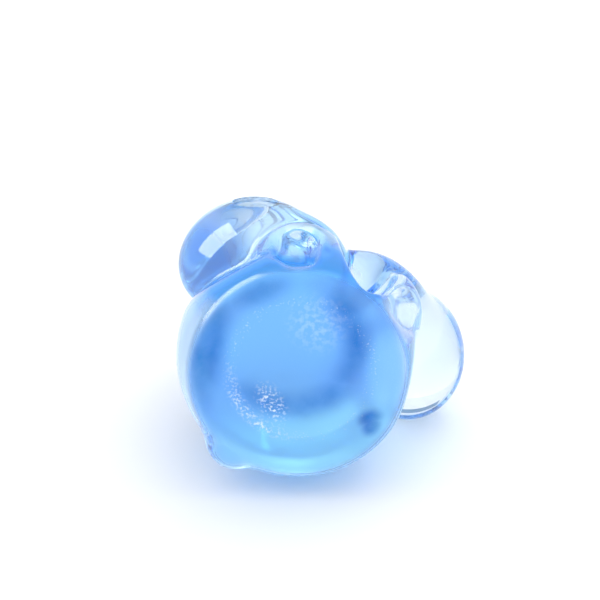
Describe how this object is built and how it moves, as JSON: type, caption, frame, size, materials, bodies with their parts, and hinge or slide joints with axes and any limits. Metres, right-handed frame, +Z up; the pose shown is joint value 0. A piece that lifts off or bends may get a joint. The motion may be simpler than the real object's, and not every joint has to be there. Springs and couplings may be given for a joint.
{
  "type": "guitar slide",
  "caption": "Short closed-end glass guitar slide with a finger bore, a ground flat end, side lobes, rim bumps and a pulled tip.",
  "frame": {"origin": "under the middle of the part's box, on the surface that it lies on", "axes": "+Z up as it lies, +Y towards the mouth of the finger bore, -Y towards the ground flat end, +X to the right seen from the ground end"},
  "size_m": [0.0442, 0.0478, 0.0373],
  "materials": {
    "blue_glass": "sky-blue glass, ground satin where the flat end is cut",
    "clear_glass": "clear glass, fire-polished and glossy"
  },
  "bodies": {
    "root": {"blue_core": "blue_glass", "clear_casing": "clear_glass", "mouth_lip": "clear_glass", "left_lobe": "clear_glass", "right_lobe": "clear_glass", "left_bump": "clear_glass", "right_bump": "clear_glass", "notch_web": "clear_glass", "pulled_tip": "clear_glass"}
  },
  "joints": []
}
